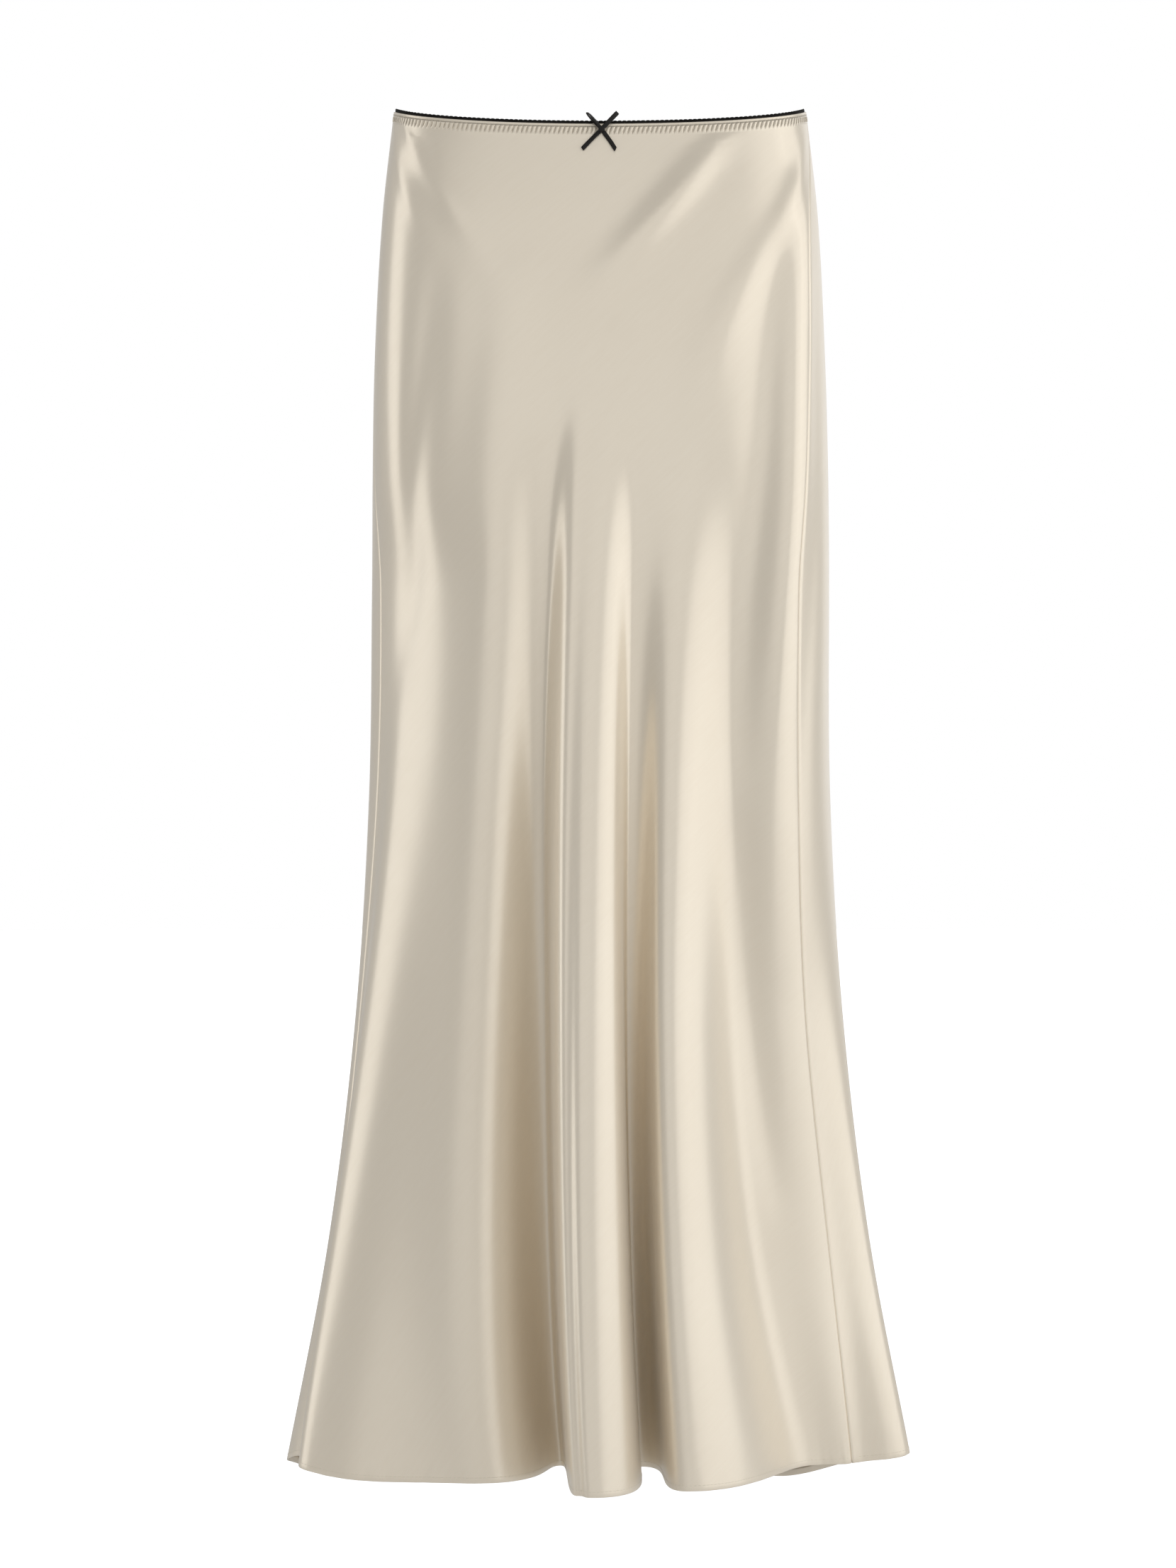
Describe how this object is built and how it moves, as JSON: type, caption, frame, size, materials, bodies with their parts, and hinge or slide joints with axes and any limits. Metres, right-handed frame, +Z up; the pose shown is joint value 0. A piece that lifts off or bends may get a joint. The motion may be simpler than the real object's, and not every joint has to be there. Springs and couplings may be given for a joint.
{
  "type": "satin maxi skirt",
  "caption": "Long bias-cut satin slip skirt, hollow and open at waist and hem, flared into flutes, with a black picot elastic edge and a small ribbon bow.",
  "frame": {"origin": "middle of the waist opening, level with the top edge at the sides", "axes": "+X to the right of the front view, -Y out of the front panel, +Z up towards the waist"},
  "size_m": [0.4519, 0.298, 1.0021],
  "materials": {
    "satin": "ivory champagne satin, smooth, with a soft directional sheen",
    "elastic": "black picot-edge elastic, dull",
    "ribbon": "black satin ribbon, slight sheen"
  },
  "bodies": {
    "root": {"front_panel": "satin", "back_panel": "satin", "waist_trim": "elastic", "bow_knot": "ribbon", "bow_loop_left": "ribbon", "bow_loop_right": "ribbon", "bow_tail_left": "ribbon", "bow_tail_right": "ribbon"}
  },
  "joints": []
}
